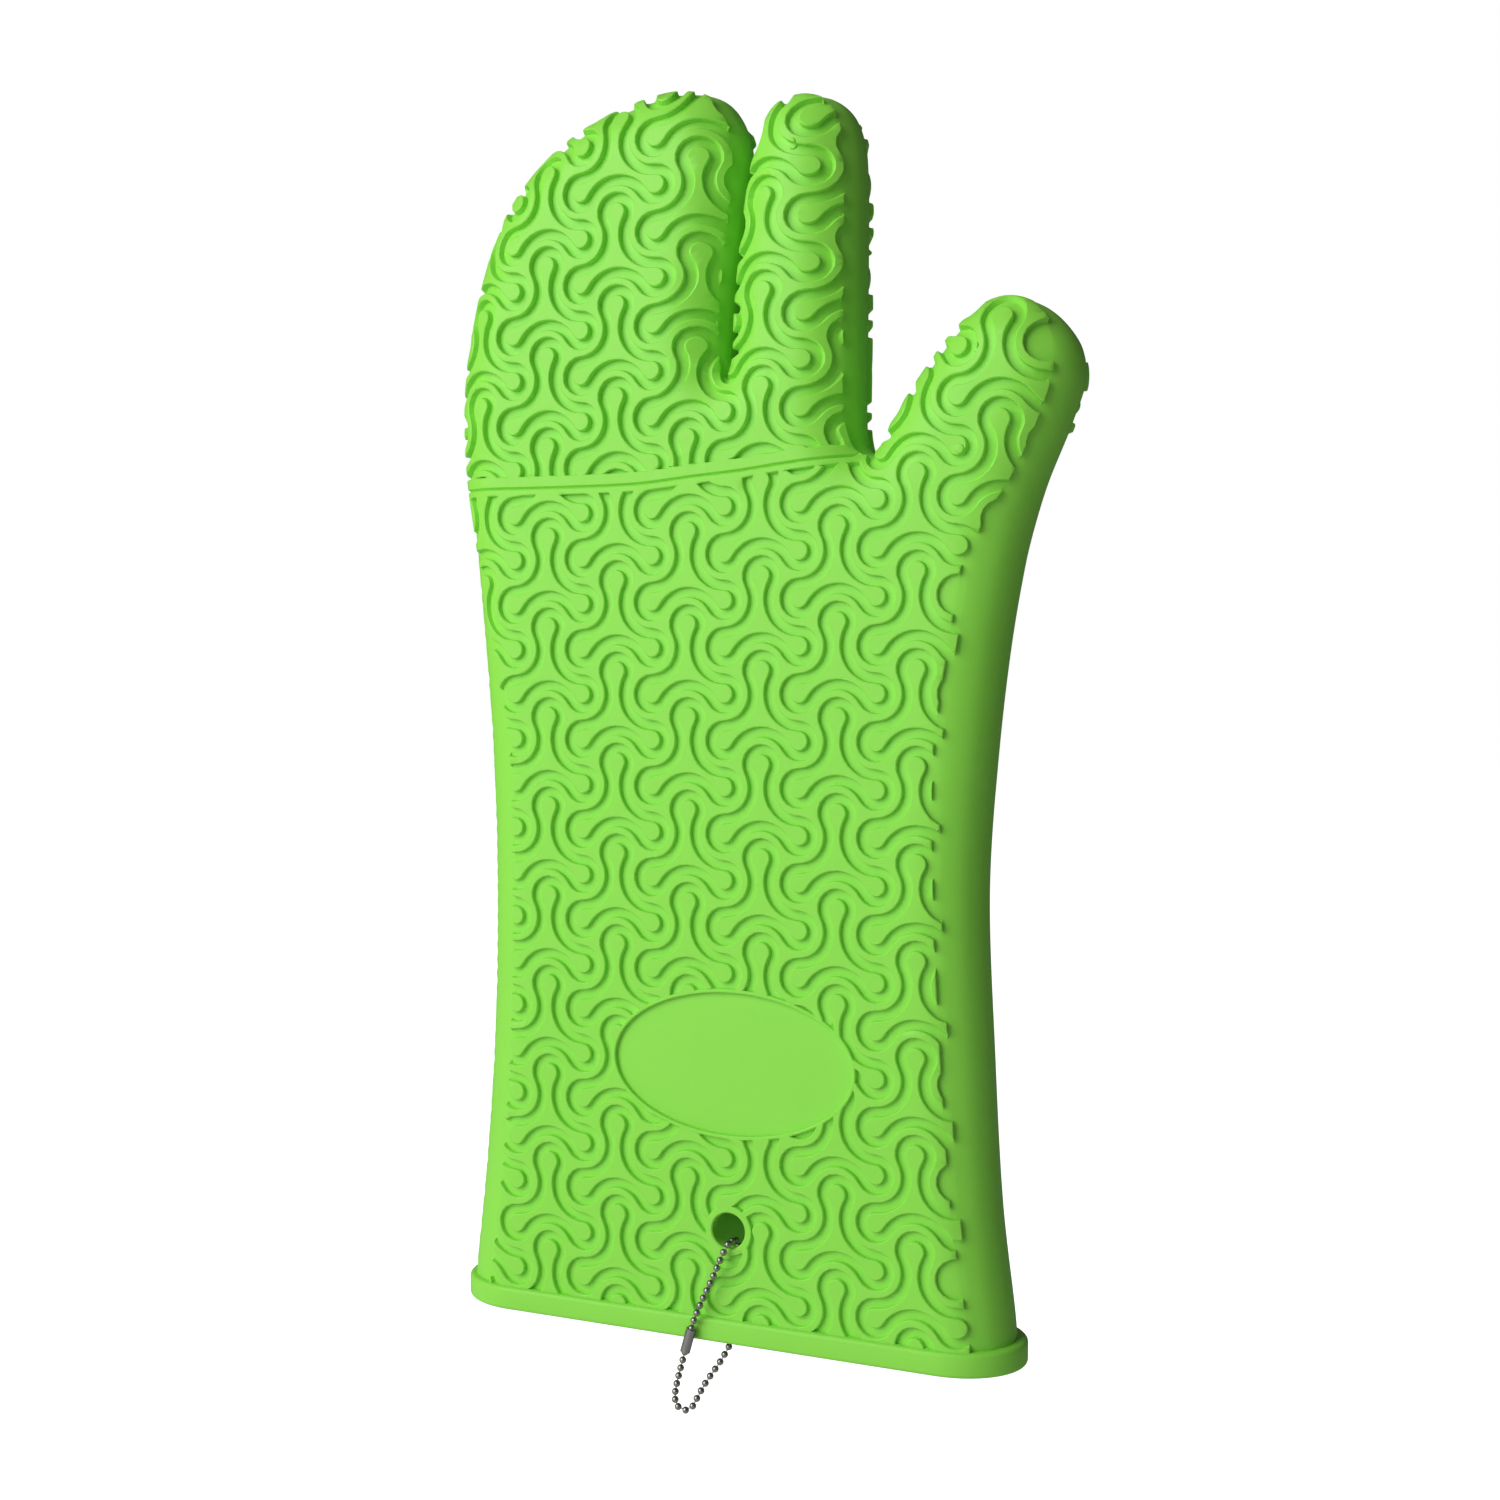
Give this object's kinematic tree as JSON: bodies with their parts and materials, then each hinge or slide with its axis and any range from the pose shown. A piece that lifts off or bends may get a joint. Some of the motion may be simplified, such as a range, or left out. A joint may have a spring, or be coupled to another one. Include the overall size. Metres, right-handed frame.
{
  "type": "oven mitt",
  "caption": "Moulded silicone oven mitt with thumb, index finger and three-finger pocket, raised labyrinth grip pattern and a ball chain loop at the cuff.",
  "frame": {"origin": "centre of the cuff opening, in the plane of the rim's lower edge", "axes": "+Z from the cuff to the fingertips, -Y out of the palm side, +X towards the thumb"},
  "size_m": [0.1804, 0.0366, 0.3572],
  "materials": {
    "silicone": "satin moulded silicone",
    "chain_metal": "nickel plated, slightly dull"
  },
  "bodies": {
    "palm": {"palm_shell": "silicone", "cuff_rim": "silicone"},
    "knuckles": {"knuckle_shell": "silicone"},
    "pocket": {"finger_pocket": "silicone"},
    "index": {"index_finger": "silicone"},
    "thumb_cell": {"thumb": "silicone"},
    "chain": {"chain_balls": "chain_metal", "chain_links": "chain_metal", "chain_connector": "chain_metal"}
  },
  "joints": [
    {"name": "knuckle_fold", "type": "hinge", "parent": "palm", "child": "knuckles", "pos_m": [0, -0.0143, 0.2362], "axis": [1, 0, 0], "range_deg": [0, 45], "stiffness_Nm_per_rad": 0.3},
    {"name": "pocket_bend", "type": "hinge", "parent": "knuckles", "child": "pocket", "pos_m": [0, -0.0143, 0.2662], "axis": [1, 0, 0], "range_deg": [0, 45], "stiffness_Nm_per_rad": 0.2},
    {"name": "index_bend", "type": "hinge", "parent": "knuckles", "child": "index", "pos_m": [0, -0.0143, 0.2662], "axis": [1, 0, 0], "range_deg": [0, 45], "stiffness_Nm_per_rad": 0.12},
    {"name": "thumb_bend", "type": "hinge", "parent": "palm", "child": "thumb_cell", "pos_m": [0.04212, -0.0143, 0.23616], "axis": [0.7888, 0, -0.6146], "range_deg": [0, 40], "stiffness_Nm_per_rad": 0.12},
    {"name": "chain_swing", "type": "hinge", "parent": "palm", "child": "chain", "pos_m": [0.006, -0.0142, 0.0274], "axis": [0, 1, 0], "range_deg": [-18, 10]}
  ]
}
